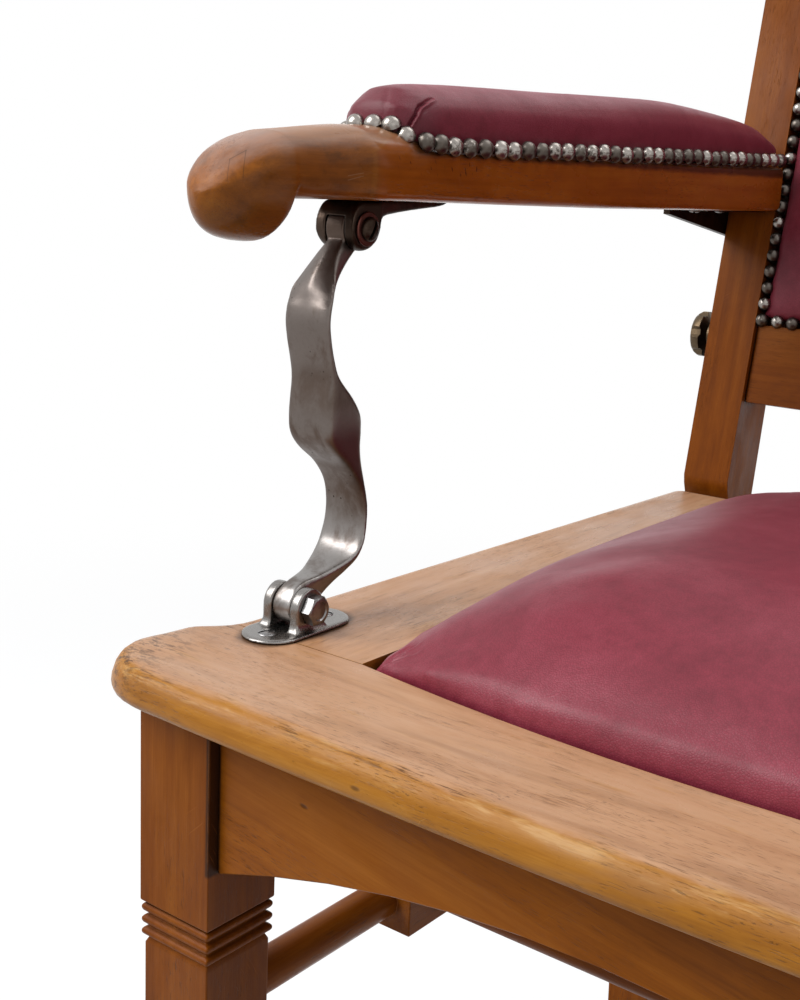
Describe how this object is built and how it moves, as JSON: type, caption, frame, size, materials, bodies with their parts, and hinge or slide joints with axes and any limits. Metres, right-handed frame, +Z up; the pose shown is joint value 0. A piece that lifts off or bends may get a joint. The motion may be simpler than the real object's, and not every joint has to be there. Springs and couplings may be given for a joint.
{
  "type": "barber chair",
  "caption": "Wooden barber chair with leather cushions, scrolled arms on wavy metal supports, a back that leans and a sliding headrest.",
  "frame": {"origin": "middle of the chair's footprint on the floor", "axes": "+Z up, -Y the way the sitter faces, +X to the right as seen from the front"},
  "size_m": [0.517, 0.6882, 1.1885],
  "materials": {
    "honey_wood": "worn varnish over honey-coloured hardwood",
    "plain_wood": "plain unvarnished board",
    "burgundy_leather": "grained burgundy leather, semi-matt",
    "worn_nickel": "worn nickel plate on castings, pitted",
    "dark_bronze": "dark bronzed iron"
  },
  "bodies": {
    "root": {"seat_front_board": "honey_wood", "seat_left_board": "honey_wood", "seat_right_board": "honey_wood", "seat_rear_board": "honey_wood", "seat_pad": "burgundy_leather", "seat_pad_base": "plain_wood", "left_pad_ledge": "plain_wood", "right_pad_ledge": "plain_wood", "front_apron": "honey_wood", "left_apron": "honey_wood", "right_apron": "honey_wood", "rear_apron": "honey_wood", "front_left_leg": "honey_wood", "front_right_leg": "honey_wood", "rear_left_leg": "honey_wood", "rear_right_leg": "honey_wood", "left_stretcher": "honey_wood", "right_stretcher": "honey_wood", "cross_stretcher": "honey_wood", "left_support_bracket": "worn_nickel", "right_support_bracket": "worn_nickel", "left_support_bolt": "worn_nickel", "right_support_bolt": "worn_nickel", "left_back_plate": "worn_nickel", "right_back_plate": "worn_nickel", "left_back_pivot": "worn_nickel", "right_back_pivot": "worn_nickel"},
    "back": {"left_back_stile": "honey_wood", "right_back_stile": "honey_wood", "back_top_rail": "honey_wood", "back_bottom_rail": "honey_wood", "back_panel": "plain_wood", "back_pad": "burgundy_leather", "left_arm_pivot": "worn_nickel", "right_arm_pivot": "worn_nickel", "headrest_guide": "worn_nickel"},
    "left_support": {"left_arm_support": "worn_nickel"},
    "right_support": {"right_arm_support": "worn_nickel"},
    "left_armrest": {"left_arm": "honey_wood", "left_arm_pad": "burgundy_leather", "left_arm_front_bracket": "worn_nickel", "left_arm_front_screw": "worn_nickel", "left_arm_rear_bracket": "worn_nickel"},
    "right_armrest": {"right_arm": "honey_wood", "right_arm_pad": "burgundy_leather", "right_arm_front_bracket": "worn_nickel", "right_arm_front_screw": "worn_nickel", "right_arm_rear_bracket": "worn_nickel"},
    "left_clamp": {"left_clamp_knob": "dark_bronze"},
    "right_clamp": {"right_clamp_knob": "dark_bronze"},
    "headrest_slide": {"headrest_post": "worn_nickel"},
    "headrest": {"headrest_pin": "worn_nickel", "headrest_bracket": "worn_nickel", "headrest_board": "honey_wood", "headrest_cushion": "burgundy_leather"},
    "headrest_clamp": {"headrest_screw": "dark_bronze"}
  },
  "joints": [
    {"name": "recline", "type": "hinge", "parent": "root", "child": "back", "pos_m": [0, 0.2189, 0.5122], "axis": [-1, 0, 0], "range_deg": [0, 35]},
    {"name": "left_support_swing", "type": "hinge", "parent": "root", "child": "left_support", "pos_m": [-0.2115, -0.2476, 0.5122], "axis": [-1, 0, 0], "range_deg": [0, 35]},
    {"name": "right_support_swing", "type": "hinge", "parent": "root", "child": "right_support", "pos_m": [0.2115, -0.2476, 0.5122], "axis": [-1, 0, 0], "range_deg": [0, 35]},
    {"name": "left_arm_level", "type": "hinge", "parent": "back", "child": "left_armrest", "pos_m": [-0.212, 0.2495, 0.6872], "axis": [-1, 0, 0], "range_deg": [-35, 0]},
    {"name": "right_arm_level", "type": "hinge", "parent": "back", "child": "right_armrest", "pos_m": [0.212, 0.2495, 0.6872], "axis": [-1, 0, 0], "range_deg": [-35, 0]},
    {"name": "left_clamp_turn", "type": "hinge", "parent": "back", "child": "left_clamp", "pos_m": [-0.2245, 0.23544, 0.60676], "axis": [-1, 0, 0], "range_deg": [0, 180]},
    {"name": "right_clamp_turn", "type": "hinge", "parent": "back", "child": "right_clamp", "pos_m": [0.2245, 0.23544, 0.60676], "axis": [1, 0, 0], "range_deg": [0, 180]},
    {"name": "headrest_height", "type": "slide", "parent": "back", "child": "headrest_slide", "axis": [0, 0.1722, 0.9851], "range_m": [0, 0.1]},
    {"name": "headrest_tilt", "type": "hinge", "parent": "headrest_slide", "child": "headrest", "pos_m": [0, 0.33318, 1.12163], "axis": [1, 0, 0], "range_deg": [-20, 20]},
    {"name": "headrest_screw_turn", "type": "hinge", "parent": "back", "child": "headrest_clamp", "pos_m": [0, 0.30158, 0.98503], "axis": [0, 0.9851, -0.1722], "range_deg": [0, 180]}
  ],
  "couplings": [
    {"joint": "left_support_swing", "follows": "recline", "ratio": 1},
    {"joint": "right_support_swing", "follows": "recline", "ratio": 1},
    {"joint": "left_arm_level", "follows": "recline", "ratio": -1},
    {"joint": "right_arm_level", "follows": "recline", "ratio": -1}
  ]
}
